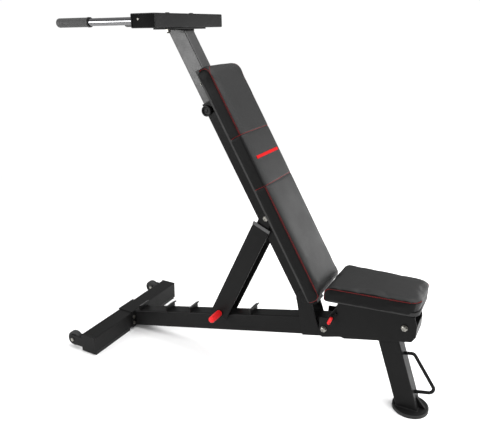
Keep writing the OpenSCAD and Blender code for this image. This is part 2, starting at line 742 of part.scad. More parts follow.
module seat_nut() {
  color("#b4b4b4") bench() difference() {
    hex_y(seat_pivot_x, seat_pivot_z, head_d, house_in + house_t, house_in + house_t + nut_t);
    rod_y(seat_pivot_x, seat_pivot_z, bolt_d, house_in, house_in + house_t + nut_t + 1);
  }
}
module seat_clamp() {
  color("#161617") bench() union() {
    rod_y(clamp_x, clamp_z, clamp_d, -house_in - 17, house_in + 17);
    rod_y(clamp_x, clamp_z, clamp_neck_d, -house_in - 26, house_in + 26);
    translate([clamp_x, -house_in - house_t - 7, clamp_z]) rotate([0, 35, 0])
      translate([-3, 0, 0]) cube([6, 5, 30]);
  }
}
// Short bars across the ends of the clamp rod, turned by thumb and finger
module clamp_grips() {
  color("#e01818") bench() both_sides() difference() {
    translate([clamp_x, house_in + 24, clamp_z]) rotate([0, 22, 0]) union() {
      translate([0, 0, -clamp_grip_len / 2]) cylinder(d = clamp_grip_d, h = clamp_grip_len);
      for (z = [-0.5, 0.5]) translate([0, 0, z * clamp_grip_len]) sphere(d = clamp_grip_d);
    }
    rod_y(clamp_x, clamp_z, clamp_neck_d, 0, house_in + 26);
  }
}

rear_crossbeam();
wheel_plates();
floor_strips();
wheel_near();
wheel_far();
wheel_axles();
spine_tube();
saddle_bracket();
saddle_bolts();
spine_catches();
tower_plates();
hinge_bushes();
hinge_bolt();
hinge_nut();
seat_housing();
housing_bolt();
housing_nut();
front_leg();
leg_gusset();
lift_handle();
foot_plate();
foot_rubber();
backrest_tube();
tube_sleeve();
pad_crossbars();
backrest_board();
backrest_pad();
pad_screws();
pin_housing();
pin_spring();
pin_plunger();
pin_knob();
extension_post();
post_end_cap();
top_plate();
cross_tube();
cross_tube_caps();
handle_bars();
bar_grips();
grip_collars();
plate_bolts();
plate_nuts();
arm_channel();
arm_band();
arm_ears();
arm_pivot_bolt();
arm_pivot_nut();
arm_bars();
arm_grips();
seat_rails();
seat_strut();
seat_board();
seat_pad();
seat_screws();
seat_bolt();
seat_nut();
seat_clamp();
clamp_grips();
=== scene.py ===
import json
import math

import bmesh
import bpy
from mathutils import Matrix, Vector
from mathutils.bvhtree import BVHTree


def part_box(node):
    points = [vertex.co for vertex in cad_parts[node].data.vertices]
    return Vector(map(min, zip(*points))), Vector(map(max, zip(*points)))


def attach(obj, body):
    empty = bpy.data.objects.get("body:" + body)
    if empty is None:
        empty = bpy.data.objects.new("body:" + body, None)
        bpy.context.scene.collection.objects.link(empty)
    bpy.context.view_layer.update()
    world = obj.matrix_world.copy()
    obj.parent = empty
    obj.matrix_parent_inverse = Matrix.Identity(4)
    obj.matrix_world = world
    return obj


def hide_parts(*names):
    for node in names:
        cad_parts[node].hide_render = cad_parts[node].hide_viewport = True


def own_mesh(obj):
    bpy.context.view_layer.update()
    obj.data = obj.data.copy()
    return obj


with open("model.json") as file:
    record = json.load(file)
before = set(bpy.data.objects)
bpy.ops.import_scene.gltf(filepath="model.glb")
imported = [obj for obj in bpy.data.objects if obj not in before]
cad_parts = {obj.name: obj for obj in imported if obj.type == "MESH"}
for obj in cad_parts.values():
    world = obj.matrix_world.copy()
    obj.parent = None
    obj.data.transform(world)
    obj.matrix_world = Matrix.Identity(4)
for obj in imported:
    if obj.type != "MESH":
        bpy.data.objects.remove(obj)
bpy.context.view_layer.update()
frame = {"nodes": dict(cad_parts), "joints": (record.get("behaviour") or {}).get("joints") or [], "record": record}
nodes = frame["nodes"]
mm = 0.001


def jointOf(name):
    return next(j for j in frame["joints"] if j["name"] == name)


# A socket that does sums, and a finish that makes nodes
class Value:
    def __init__(self, finish, socket):
        self.finish = finish
        self.socket = socket

    def sum(self, other, operation, swap=False):
        pair = (other, self) if swap else (self, other)
        return self.finish.node("ShaderNodeMath", {"operation": operation}, {0: pair[0], 1: pair[1]})

    def __add__(self, other):
        return self.sum(other, "ADD")

    def __sub__(self, other):
        return self.sum(other, "SUBTRACT")

    def __rsub__(self, other):
        return self.sum(other, "SUBTRACT", swap=True)

    def __mul__(self, other):
        return self.sum(other, "MULTIPLY")

    __radd__ = __add__
    __rmul__ = __mul__


class Finish:
    def __init__(self, name):
        self.material = bpy.data.materials.new(name)
        self.material.use_nodes = True
        self.tree = self.material.node_tree
        self.shader = self.tree.nodes["Principled BSDF"]
        self.place = self.node("ShaderNodeTexCoord", output="Object")

    # settings come first, then the sockets' values or links
    def node(self, kind, settings=None, inputs=None, output=0):
        made = self.tree.nodes.new(kind)
        for key, value in (settings or {}).items():
            if key == "stops":
                ramp = made.color_ramp
                while len(ramp.elements) < len(value):
                    ramp.elements.new(0.5)
                for element, (at, colour) in zip(ramp.elements, value):
                    element.position = at
                    element.color = colour
            else:
                setattr(made, key, value)
        for key, value in (inputs or {}).items():
            self.join(value, made.inputs[key])
        return Value(self, made.outputs[output])

    def join(self, value, socket):
        if isinstance(value, Value):
            self.tree.links.new(value.socket, socket)
        else:
            socket.default_value = value

    def set(self, **sockets):
        for key, value in sockets.items():
            self.join(value, self.shader.inputs[key.replace("_", " ")])

    def noise(self, scale, detail=3.0, rough=0.5, at=None):
        where = at or self.place
        return self.node("ShaderNodeTexNoise", None,
                         {"Vector": where, "Scale": scale, "Detail": detail, "Roughness": rough})

    def cells(self, scale, feature="F1", at=None):
        where = at or self.place
        return self.node("ShaderNodeTexVoronoi", {"feature": feature}, {"Vector": where, "Scale": scale})

    def remap(self, value, low, high, toLow, toHigh):
        return self.node("ShaderNodeMapRange", None, {"Value": value, "From Min": low, "From Max": high,
                                                      "To Min": toLow, "To Max": toHigh})

    def mix(self, factor, first, second):
        return self.node("ShaderNodeMix", {"data_type": "RGBA"}, {0: factor, 6: first, 7: second}, output=2)

    def bump(self, height, strength, distance, over=None):
        sockets = {"Height": height, "Strength": strength, "Distance": distance}
        if over:
            sockets["Normal"] = over
        self.set(Normal=self.node("ShaderNodeBump", None, sockets))

    def stretch(self, x, y, z):
        return self.node("ShaderNodeMapping", None, {"Vector": self.place, "Scale": (x, y, z)})


def grey(level):
    return (level, level, level, 1.0)


# Satin powder coat: fine orange peel, dull patches, dust in scuffs, and edges painted a little paler, partly as
# rubbed wear and partly as a painted highlight along them
def powderCoat(name, level, gloss=0.4, edgeWearAndHighlight=2.6, shine=0.06):
    finish = Finish(name)
    peel = finish.noise(650, 2.0)
    grit = finish.noise(2600, 1.0)
    patches = finish.noise(9, 4.0, 0.6)
    patch = finish.remap(patches, 0.3, 0.7, 0, 1)
    scuffs = finish.remap(finish.noise(60, 6.0, 0.75), 0.66, 0.78, 0.0, 1.0)
    rounded = finish.node("ShaderNodeBevel", {"samples": 4}, {"Radius": 1.6 * mm})
    flat = finish.node("ShaderNodeNewGeometry", output="Normal")
    alike = finish.node("ShaderNodeVectorMath", {"operation": "DOT_PRODUCT"}, {0: rounded, 1: flat},
                        output="Value")
    # the edge mask finds rounded edges, where the colour is painted paler: part rubbed wear, part painted
    # highlight
    edge = finish.remap(1 - alike, 0.02, 0.25, 0.0, 1.0) * finish.remap(grit, 0.3, 0.6, 0.35, 1.0)
    base = finish.mix(patch, grey(level), grey(level * 1.35))
    worn = finish.mix(scuffs * 0.3, base, grey(level * 2.2))
    finish.set(Base_Color=finish.mix(edge * 0.7, worn, grey(level * edgeWearAndHighlight)))
    finish.set(Roughness=finish.remap(patch, 0, 1, gloss - 0.05, gloss + 0.09) + scuffs * 0.08)
    finish.set(Specular_IOR_Level=shine)
    finish.bump(peel + grit * 0.5, 0.35, 0.00035, rounded)
    return finish.material


# Zinc plate: blotches of tone, fine brushed streaks in the roughness and a faint yellow cast
def zincPlate(name):
    finish = Finish(name)
    blotch = finish.noise(120, 4.0, 0.6)
    brushed = finish.noise(900, 2.0, at=finish.stretch(1, 0.08, 1))
    finish.set(Base_Color=finish.mix(blotch, (0.16, 0.155, 0.14, 1), (0.36, 0.35, 0.32, 1)))
    finish.set(Metallic=1.0, Roughness=finish.remap(brushed, 0.3, 0.7, 0.24, 0.42))
    finish.bump(brushed + blotch, 0.2, 0.0002)
    return finish.material


def chromePlate(name):
    finish = Finish(name)
    smudge = finish.noise(35, 5.0, 0.7)
    finish.set(Base_Color=finish.mix(smudge, (0.14, 0.14, 0.145, 1), (0.16, 0.16, 0.163, 1)), Metallic=1.0)
    finish.set(Roughness=finish.remap(smudge, 0.4, 0.7, 0.1, 0.14))
    finish.bump(finish.noise(300, 1.0), 0.02, 0.0001)
    return finish.material


# Grained cover: pebbled cells with fine creases between them
def grainedCover(name, level, worn=1.0, shine=0.2):
    finish = Finish(name)
    wander = finish.noise(160, 3.0)
    bent = finish.node("ShaderNodeVectorMath", {"operation": "ADD"},
                       {0: finish.place, 1: finish.node("ShaderNodeVectorMath", {"operation": "SCALE"},
                                                        {0: wander, "Scale": 0.0022})})
    pebbles = finish.cells(560, "SMOOTH_F1", bent)
    creases = finish.cells(230, "DISTANCE_TO_EDGE", bent)
    crease = finish.remap(creases, 0.0, 0.12, 0.0, 1.0)
    rub = finish.noise(7, 4.0, 0.65)
    shade = finish.mix(finish.remap(rub, 0.35, 0.7, 0, 1), grey(level), grey(level * 1.3 * worn))
    # the creases between the pebbles are painted darker: painted shade in the creases
    finish.set(Base_Color=finish.mix(crease, grey(level * 0.75), shade))
    finish.set(Roughness=finish.remap(rub, 0.3, 0.7, 0.4, 0.52) + pebbles * 0.12)
    finish.set(Specular_IOR_Level=shine)
    finish.bump(crease * 0.5 - pebbles * 0.8, 0.55, 0.0004)
    return finish.material


# Twisted sewing thread
def threadFinish(name, colour):
    finish = Finish(name)
    twist = finish.noise(2400, 2.0, at=finish.stretch(1, 1, 2.5))
    dark = tuple(c * 0.55 for c in colour[:3]) + (1.0,)
    finish.set(Base_Color=finish.mix(twist, dark, colour), Roughness=0.7, Specular_IOR_Level=0.15)
    finish.bump(twist, 0.5, 0.0002)
    return finish.material


def rubberFinish(name, colour, rough=0.6, fleck=0.25, shine=0.3):
    finish = Finish(name)
    pores = finish.noise(1800, 2.0)
    haze = finish.noise(24, 4.0, 0.6)
    pale = tuple(min(1, c * (1 + fleck)) for c in colour[:3]) + (1.0,)
    finish.set(Base_Color=finish.mix(haze, colour, pale))
    finish.set(Roughness=finish.remap(haze, 0.3, 0.7, rough - 0.06, rough + 0.1))
    finish.set(Specular_IOR_Level=shine)
    finish.bump(pores, 0.3, 0.0003)
    return finish.material


def mouldedPlastic(name, level):
    finish = Finish(name)
    spark = finish.noise(1300, 3.0)
    haze = finish.noise(15, 3.0)
    finish.set(Base_Color=finish.mix(haze, grey(level), grey(level * 1.5)))
    finish.set(Roughness=finish.remap(haze, 0.3, 0.7, 0.42, 0.56), Specular_IOR_Level=0.2)
    finish.bump(spark, 0.35, 0.00025)
    return finish.material


# Black stained plywood with the grain along the board
def stainedPly(name):
    finish = Finish(name)
    grain = finish.noise(140, 5.0, 0.7, at=finish.stretch(0.12, 1, 0.12))
    plies = finish.node("ShaderNodeTexWave", {"wave_type": "BANDS", "bands_direction": "Z"},
                        {"Vector": finish.place, "Scale": 60.0, "Distortion": 0.6})
    finish.set(Base_Color=finish.mix(grain, (0.004, 0.004, 0.004, 1), (0.012, 0.0115, 0.011, 1)))
    finish.set(Roughness=finish.remap(grain, 0.3, 0.7, 0.55, 0.75))
    finish.bump(grain + plies * 0.2, 0.4, 0.0004)
    return finish.material


finishes = {
    "black_frame": powderCoat("blackFrame", 0.0065, shine=0.09),
    "post_finish": powderCoat("postCoat", 0.02, 0.36, 2.0, 0.45),
    # the band gets a paler coat than the frame: a painted highlight along the arm's top edge
    "band_finish": powderCoat("bandHighlightCoat", 0.07, 0.45, 1.6, 0.3),
    "zinc": zincPlate("zincPlate"),
    "chrome_bar": chromePlate("chromePlate"),
    "pad_leather": grainedCover("grainedCover", 0.0105),
    "pad_board": stainedPly("stainedPly"),
    "black_plastic": mouldedPlastic("mouldedPlastic", 0.004),
    "black_rubber": rubberFinish("blackRubber", grey(0.014), 0.62),
    "grip_rubber": rubberFinish("gripRubber", grey(0.045), 0.55),
    "red_rubber": rubberFinish("redRubber", (0.62, 0.008, 0.01, 1), 0.4, 0.2),
    "wheel_plastic": mouldedPlastic("wheelPlastic", 0.02),
    "spring_steel": zincPlate("springSteel"),
}
# The sides get a darker, less shiny copy of the grained cover: painted shade, as the sides are the same leather as
# the face
shadedSideCover = grainedCover("shadedSideCover", 0.0022, 0.9, 0.12)
redThread = threadFinish("redThread", (0.3, 0.006, 0.008, 1))
blackThread = threadFinish("blackThread", grey(0.02))
markPrint = rubberFinish("markPrint", (0.4, 0.004, 0.005, 1), 0.6, shine=0.06)
weldMetal = powderCoat("weldCoat", 0.02, 0.34)
slotOf = {row["node"]: row["material_slot"] for row in frame["record"]["subparts"]}
for name, obj in nodes.items():
    obj.data.materials.clear()
    obj.data.materials.append(finishes[slotOf[name]])
print("finishes done")


# Places taken from the joints
hinge = Vector(jointOf("backrest_tilt")["pos_m"])
upBack = Vector(jointOf("post_slide")["axis"])
outBack = Vector((upBack.z, 0, -upBack.x))
# along the backrest: x up the tube, y across, z out towards the sitter
backFrame = Matrix.Translation(hinge) @ Matrix((upBack, (0, -1, 0), outBack)).transposed().to_4x4()


def pieceFrom(bm, name, finish, smooth=True):
    mesh = bpy.data.meshes.new(name)
    bm.to_mesh(mesh)
    bm.free()
    obj = bpy.data.objects.new(name, mesh)
    bpy.context.scene.collection.objects.link(obj)
    mesh.materials.append(finish)
    if smooth:
        mesh.polygons.foreach_set("use_smooth", [True] * len(mesh.polygons))
    return obj


def finished(obj, body, slot, *replaced):
    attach(obj, body)
    if replaced:
        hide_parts(*replaced)
    return obj


def addModifier(obj, kind, **settings):
    modifier = obj.modifiers.new(kind.title(), kind)
    for key, value in settings.items():
        setattr(modifier, key, value)
    return modifier


def applyModifiers(obj):
    graph = bpy.context.evaluated_depsgraph_get()
    graph.update()
    baked = bpy.data.meshes.new_from_object(obj.evaluated_get(graph))
    obj.modifiers.clear()
    old = obj.data
    obj.data = baked
    bpy.data.meshes.remove(old)


backPad = {
    "low": -7 * mm, "high": 871 * mm, "back": 42.5 * mm, "face": 97 * mm, "halfWidth": 114 * mm,
    "corner": 30 * mm, "roll": 30 * mm, "seams": (606.5 * mm, 421 * mm), "puff": 4 * mm,
    "voxel": 6 * mm, "stitch": 5.5 * mm, "thread": 1.5 * mm,
}
padding = {"pressure": 4.0, "steps": 20, "shrink": 2.5 * mm}
weltStitch = {"step": 3 * mm, "length": 3.2 * mm, "lift": 0}


def spaced(low, high, count):
    return [low + (high - low) * k / (count - 1) for k in range(count)]


# Fills a cover with air, moving no point further than the cap
def puffUp(obj, voxel, cap):
    addModifier(obj, "REMESH", mode="VOXEL", voxel_size=voxel)
    applyModifiers(obj)
    start = [v.co.copy() for v in obj.data.vertices]
    cloth = addModifier(obj, "CLOTH")
    cloth.settings.use_pressure = True
    cloth.settings.uniform_pressure_force = padding["pressure"]
    cloth.settings.effector_weights.gravity = 0
    cloth.point_cache.frame_start = 1
    cloth.point_cache.frame_end = padding["steps"]
    scene = bpy.context.scene
    for step in range(1, padding["steps"] + 1):
        scene.frame_set(step)
    applyModifiers(obj)
    scene.frame_set(1)
    for v, was in zip(obj.data.vertices, start):
        move = v.co - was
        if move.length > cap:
            v.co = was + move * (cap / move.length)


# A foam block lying flat: x along it, y across it, z up to its face
def foamBlock(low, high, halfWidth, back, face, corner, edge):
    bm = bmesh.new()
    size = Matrix.Diagonal((high - low, 2 * halfWidth, face - back, 1))
    middle = Matrix.Translation(((low + high) / 2, 0, (back + face) / 2))
    bmesh.ops.create_cube(bm, size=1.0, matrix=middle @ size)
    for top, radius in ((True, corner), (False, 5 * mm)):
        upright = [e for e in bm.edges if abs(e.verts[0].co.z - e.verts[1].co.z) > (face - back) / 2
                   and (e.verts[0].co.x > (low + high) / 2) == top]
        bmesh.ops.bevel(bm, geom=upright, offset=radius, segments=6, profile=0.5, affect="EDGES",
                        material=-1)
    rim = [e for e in bm.edges if min(v.co.z for v in e.verts) > face - 0.1 * mm]
    bmesh.ops.bevel(bm, geom=rim, offset=edge, segments=3, profile=0.5, affect="EDGES", material=-1)
    return bm


# Rolls the face down towards the back where it nears an end
def rollEnd(co, gap, roll, back, face):
    if gap < roll:
        gap = max(0.0, gap)
        drop = roll - math.sqrt(roll ** 2 - (roll - gap) ** 2)
        co.z = back + (co.z - back) * (1 - drop / (face - back))


# Presses a narrow channel into a cover where a seam runs
def pressSeam(obj, distance, depth, width):
    normals = [v.normal.copy() for v in obj.data.vertices]
    for v, normal in zip(obj.data.vertices, normals):
        d = distance(v.co)
        if d < width * 2.5:
            v.co = v.co - normal * depth * math.exp(-(d / width) ** 2)


# A row of stitches, each a short bead lying on the cover: places and the ways out
def stitchRow(bm, path, step, length, thick):
    run = 0.0
    for (p, n), (q, m) in zip(path, path[1:]):
        span = (q - p).length
        if span < 1e-6 or span > 0.05:
            continue
        along = (q - p) / span
        out = (n + m).normalized()
        side = along.cross(out).normalized()
        out = side.cross(along)
        while run < span:
            placed = Matrix.Translation(p + along * run) @ Matrix((along, side, out)).transposed().to_4x4()
            bead = Matrix.Diagonal((length, thick, thick, 1))
            made = bmesh.ops.create_cube(bm, size=1.0, matrix=placed @ bead)
            back = placed.inverted()
            for v in made["verts"]:
                local = back @ v.co
                if local.z > 0:
                    v.co = placed @ Vector((local.x * 0.7, local.y * 0.55, local.z))
            run += step
        run -= span


# Lays points on a cover by looking at it from outside
def layOn(tree, places, matrix, lift):
    reach = 0.04
    path = []
    turn = matrix.to_3x3()
    for place, look in places:
        start = matrix @ Vector(place)
        out = (turn @ Vector(look)).normalized()
        point, normal = tree.ray_cast(start + out * reach, -out, 2 * reach)[:2]
        if point is not None:
            path.append((point + out * lift, normal))
    return path


def treeOf(obj):
    bm = bmesh.new()
    bm.from_mesh(obj.data)
    tree = BVHTree.FromBMesh(bm)
    bm.free()
    return tree


# The way round a pad's side: along the face edge, then over the rolled end
def edgePlaces(low, high, end, roll, back, face, side, half, inset, look):
    way = 1 if end > low else -1
    places = [((x, side * half, face - inset), look(0)) for x in spaced(low, high, 70)]
    middle = end - way * roll
    reach = roll - inset
    for a in spaced(0, math.pi / 2, 12):
        places.append(((middle + way * reach * math.sin(a), side * half, face - roll + reach * math.cos(a)),
                       look(way * a)))
    for z in spaced(face - roll, back + 6 * mm, 6):
        places.append(((end - way * inset, side * half, z), look(way * math.pi / 2)))
    return places


def coverFaces(pad, matrix, sideOnly=0.75):
    # faces that look sideways get the darker copy of the cover, which paints shade on the sides
    inward = matrix.inverted().to_3x3()
    pad.data.materials.append(shadedSideCover)
    for face in pad.data.polygons:
        face.use_smooth = True
        if abs((inward @ face.normal).y) > sideOnly:
            face.material_index = 1


def backrestCushion():
    p = backPad
    shrink = padding["shrink"]
    bm = foamBlock(p["low"] + shrink, p["high"] - shrink, p["halfWidth"] - shrink, p["back"],
                   p["face"] - shrink, p["corner"], 5 * mm)
    pad = pieceFrom(bm, "backrestCushion", finishes["pad_leather"])
    addModifier(pad, "REMESH", mode="VOXEL", voxel_size=p["voxel"])
    applyModifiers(pad)
    for v in pad.data.vertices:
        beyond = max(0.0, abs(v.co.y) - p["halfWidth"] + p["corner"])
        bow = p["corner"] - math.sqrt(max(0.0, p["corner"] ** 2 - beyond ** 2))
        gap = min(v.co.x - p["low"], p["high"] - v.co.x - bow) - shrink
        rollEnd(v.co, gap, p["roll"], p["back"], p["face"] - shrink)
    puffUp(pad, p["voxel"], p["puff"])
    addModifier(pad, "SUBSURF", levels=1, render_levels=1)
    applyModifiers(pad)
    for seam in p["seams"]:
        pressSeam(pad, lambda c: abs(c.x - seam) if c.z > p["back"] + 5 * mm else 1, 1.6 * mm, 3 * mm)
    pressSeam(pad, lambda c: cornerGap(c, p), 1.2 * mm, 3.5 * mm)
    pad.data.transform(backFrame)
    coverFaces(pad, backFrame)
    finished(pad, "backrest", "pad_leather", "backrest_pad")
    return pad


# How far a point of the cover is from the seam between its face and its sides
def cornerGap(c, p):
    face = p["face"] - 3 * mm
    end = p["high"] - c.x if c.x > 0.4 else c.x - p["low"]
    if end < p["roll"]:
        face = face - p["roll"] + math.sqrt(p["roll"] ** 2 - (p["roll"] - max(0.0, end)) ** 2)
    return math.hypot(abs(c.y) - p["halfWidth"] + 3 * mm, c.z - face)


def backrestThreads(pad):
    p = backPad
    tree = treeOf(pad)
    red = bmesh.new()
    dark = bmesh.new()
    half, face, back, roll = p["halfWidth"], p["face"], p["back"], p["roll"]
    upper, lower = p["seams"]

    def sew(bm, places, step=p["stitch"], length=p["stitch"] * 0.74, thick=p["thread"], lift=0.3 * mm):
        stitchRow(bm, layOn(tree, places, backFrame, lift), step, length, thick)

    def seal(places, thick):
        sew(dark, places, thick=thick, **weltStitch)

    for seam in p["seams"]:
        sew(red, [((seam + 2.6 * mm, half * t, face), (0, 0, 1)) for t in spaced(-0.955, 0.955, 60)])
        seal([((seam, half * t, face), (0, 0, 1)) for t in spaced(-0.97, 0.97, 60)], 1.2 * mm)
        for side in (-1, 1):
            down = spaced(back + 4 * mm, face - 5 * mm, 14)
            sew(red, [((seam + 2.6 * mm, side * half, z), (0, side, 0)) for z in down])
    for side in (-1, 1):
        for low, high, end in ((upper + 3 * mm, p["high"] - roll, p["high"]),
                               (lower - 3 * mm, p["low"] + roll, p["low"])):
            sew(red, edgePlaces(low, high, end, roll, back, face, side, half, 6.5 * mm,
                                lambda a: (0, side, 0)))
            sew(red, edgePlaces(low, high, end, roll, back, face, side, half - 3 * mm, 0,
                                lambda a: (math.sin(a), side * 0.5, math.cos(a))))
            seal(edgePlaces(low, high, end, roll, back, face, side, half - 2 * mm, 2 * mm,
                            lambda a: (math.sin(a), side, math.cos(a))), 2 * mm)
        welt = [((x, side * (half - 2 * mm), face - 2 * mm), (0, side, 1)) for x in spaced(lower, upper, 40)]
        seal(welt, 2.2 * mm)
    finished(pieceFrom(red, "backrestThread", redThread, smooth=False), "backrest", "pad_leather")
    finished(pieceFrom(dark, "backrestWelt", blackThread, smooth=False), "backrest", "pad_leather")


stripeSize = {"middle": 519.5 * mm, "tall": 11 * mm, "wide": 170 * mm, "thick": 0.4 * mm, "proud": 0.5 * mm}


# A plain stripe printed across the middle panel
def printedStripe(pad):
    s = stripeSize
    tree = treeOf(pad)
    bm = bmesh.new()
    bmesh.ops.create_grid(bm, x_segments=4, y_segments=40, size=0.5)
    for v in bm.verts:
        above = Vector((s["middle"] + v.co.x * s["tall"], v.co.y * s["wide"], backPad["face"] + 30 * mm))
        out = backFrame.to_3x3() @ Vector((0, 0, 1))
        point = tree.ray_cast(backFrame @ above, -out, 0.08)[0]
        v.co = point + out * s["proud"]
    bmesh.ops.recalc_face_normals(bm, faces=bm.faces)
    stripe = pieceFrom(bm, "printedStripe", markPrint)
    if stripe.data.polygons[0].normal.dot(out) < 0:
        stripe.data.flip_normals()
    addModifier(stripe, "SOLIDIFY", thickness=s["thick"], offset=-1)
    applyModifiers(stripe)
    finished(stripe, "backrest", "pad_leather")


backrest = backrestCushion()
backrestThreads(backrest)
printedStripe(backrest)
print("backrest cushion done")


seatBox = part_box("seat_pad")
seatPad = {
    "length": 320 * mm, "rearHalf": 114 * mm, "frontHalf": 98 * mm, "thick": 54.5 * mm, "rise": 1.9,
    "roll": 28 * mm, "corner": 38 * mm, "undercut": 9 * mm, "overhang": 3 * mm, "crown": 5 * mm,
    "puff": 4 * mm, "voxel": 5 * mm, "stitch": 5.5 * mm, "thread": 1.5 * mm,
}
seatRise = math.radians(seatPad["rise"])
seatTop = seatBox[1][2] - 0.75 * seatPad["length"] * math.sin(seatRise) - 4 * mm
seatFrame = Matrix.Translation((seatBox[0][0], 0, seatTop)) @ Matrix.Rotation(-seatRise, 4, "Y")


def seatHalf(x):
    p = seatPad
    return p["rearHalf"] + (p["frontHalf"] - p["rearHalf"]) * max(0.0, x) / p["length"]


def seatCushion():
    p = seatPad
    shrink = padding["shrink"]
    back, face = -p["thick"], -shrink
    bm = bmesh.new()
    low, high = shrink - p["overhang"], p["length"] - shrink
    size = Matrix.Diagonal((high - low, 2, face - back, 1))
    middle = Matrix.Translation(((low + high) / 2, 0, (face + back) / 2))
    bmesh.ops.create_cube(bm, size=1.0, matrix=middle @ size)
    for v in bm.verts:
        v.co.y = math.copysign(seatHalf(v.co.x) - shrink, v.co.y)
    for front, radius in ((True, p["corner"]), (False, 6 * mm)):
        upright = [e for e in bm.edges if abs(e.verts[0].co.z - e.verts[1].co.z) > 0.03
                   and (e.verts[0].co.x > p["length"] / 2) == front]
        bmesh.ops.bevel(bm, geom=upright, offset=radius, segments=8, profile=0.5, affect="EDGES",
                        material=-1)
    rim = [e for e in bm.edges if min(v.co.z for v in e.verts) > face - 0.1 * mm]
    bmesh.ops.bevel(bm, geom=rim, offset=5 * mm, segments=3, profile=0.5, affect="EDGES", material=-1)
    pad = pieceFrom(bm, "seatCushion", finishes["pad_leather"])
    addModifier(pad, "REMESH", mode="VOXEL", voxel_size=p["voxel"])
    applyModifiers(pad)
    for v in pad.data.vertices:
        c = v.co
        depth = (face - c.z) / (face - back)
        ahead = max(0.0, c.x / p["length"] - 0.55) / 0.45
        c.x -= p["undercut"] * depth * ahead
        c.y *= 1 - 0.06 * depth * ahead
        across = 0.6 + 0.4 * (1 - (c.y / p["rearHalf"]) ** 2)
        along = 1 - (2 * c.x / p["length"] - 1) ** 2
        c.z += p["crown"] * (1 - depth) * across * max(0.0, along)
        rollEnd(c, c.x - low, p["roll"], back, face)
    puffUp(pad, p["voxel"], p["puff"])
    addModifier(pad, "SUBSURF", levels=1, render_levels=1)
    applyModifiers(pad)
    pressSeam(pad, lambda c: seatGap(c, p), 1.2 * mm, 3.5 * mm)
    pad.data.transform(seatFrame)
    coverFaces(pad, seatFrame)
    finished(pad, "seat", "pad_leather", "seat_pad")
    return pad


def seatGap(c, p):
    face = -3 * mm
    if c.x < p["roll"]:
        face = face - p["roll"] + math.sqrt(p["roll"] ** 2 - (p["roll"] - max(0.0, c.x)) ** 2)
    if c.x > p["length"] - p["corner"]:
        return 1
    return math.hypot(abs(c.y) - seatHalf(c.x) + 3 * mm, c.z - face)


# Thread along the seat's edges: down the rolled rear, along the sides and round the front
def seatThreads(pad):
    p = seatPad
    tree = treeOf(pad)
    red = bmesh.new()
    dark = bmesh.new()
    roll, back = p["roll"], -p["thick"]

    def sew(bm, places, step=p["stitch"], length=p["stitch"] * 0.74, thick=p["thread"], lift=0.3 * mm):
        stitchRow(bm, layOn(tree, places, seatFrame, lift), step, length, thick)

    def seal(places):
        sew(dark, places, thick=2 * mm, **weltStitch)

    def run(inset, drop, look, side):
        places = [((inset if drop else 0, side * (seatHalf(0) - inset), z), look(-math.pi / 2))
                  for z in spaced(back + 6 * mm, -roll, 6)]
        reach = roll - drop
        for a in spaced(-math.pi / 2, 0, 12):
            across = side * (seatHalf(roll) - inset)
            places.append(((roll + reach * math.sin(a), across, -roll + reach * math.cos(a)), look(a)))
        straight = p["length"] - p["corner"]
        places += [((x, side * (seatHalf(x) - inset), -drop), look(0)) for x in spaced(roll, straight, 40)]
        return places

    for side in (-1, 1):
        sew(red, run(3 * mm, 0, lambda a: (math.sin(a), side * 0.5, math.cos(a)), side))
        sew(red, run(0, 6.5 * mm, lambda a: (0, side, 0), side))
        seal(run(2 * mm, 2 * mm, lambda a: (math.sin(a), side, math.cos(a)), side))
    corner = p["corner"]
    centreX = p["length"] - corner
    for inset, drop, bm in ((3 * mm, 0, red), (0, 6.5 * mm, red), (2 * mm, 2 * mm, dark)):
        places = []
        for side in (-1, 1):
            arc = []
            for a in spaced(0, math.pi / 2, 14):
                out = Vector((math.sin(a), side * math.cos(a), 0))
                spot = Vector((centreX, side * (p["frontHalf"] - corner), 0)) + out * (corner - inset)
                level = out if drop else Vector((0, 0, 0))
                look = level + Vector((0, 0, 0 if drop > 3 * mm else 1))
                arc.append(((spot.x, spot.y, -drop), look))
            places += arc if side < 0 else list(reversed(arc))
        if bm is red:
            sew(bm, places)
        else:
            seal(places)
    finished(pieceFrom(red, "seatThread", redThread, smooth=False), "seat", "pad_leather")
    finished(pieceFrom(dark, "seatWelt", blackThread, smooth=False), "seat", "pad_leather")


seatCover = seatCushion()
seatThreads(seatCover)
print("seat cushion done")


# A turned piece: (along, radius) rings spun about an axis through a place
def turned(bm, rings, place, axis, steps=40):
    part = bmesh.new()
    points = [part.verts.new((radius, 0, along)) for along, radius in rings]
    lines = [part.edges.new(pair) for pair in zip(points, points[1:])]
    bmesh.ops.spin(part, geom=points + lines, cent=(0, 0, 0), axis=(0, 0, 1), angle=2 * math.pi, steps=steps,
                   use_merge=True)
    bmesh.ops.remove_doubles(part, verts=part.verts, dist=1e-6)
    bmesh.ops.recalc_face_normals(part, faces=part.faces)
    turn = Vector((0, 0, 1)).rotation_difference(Vector(axis)).to_matrix().to_4x4()
    bmesh.ops.transform(part, matrix=Matrix.Translation(place) @ turn, verts=part.verts)
    mesh = bpy.data.meshes.new("turnedRings")
    part.to_mesh(mesh)
    part.free()
    bm.from_mesh(mesh)
    bpy.data.meshes.remove(mesh)


def centreOf(name):
    low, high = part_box(name)
    return (Vector(low) + Vector(high)) / 2


def soften(obj, width, angle=35):
    addModifier(obj, "BEVEL", width=width, segments=2, limit_method="ANGLE", angle_limit=math.radians(angle))
    applyModifiers(obj)
    obj.data.set_sharp_from_angle(angle=math.radians(40))


pullKnob = {"radius": 19 * mm, "neck": 13 * mm, "dish": 12.5 * mm, "length": 28 * mm}


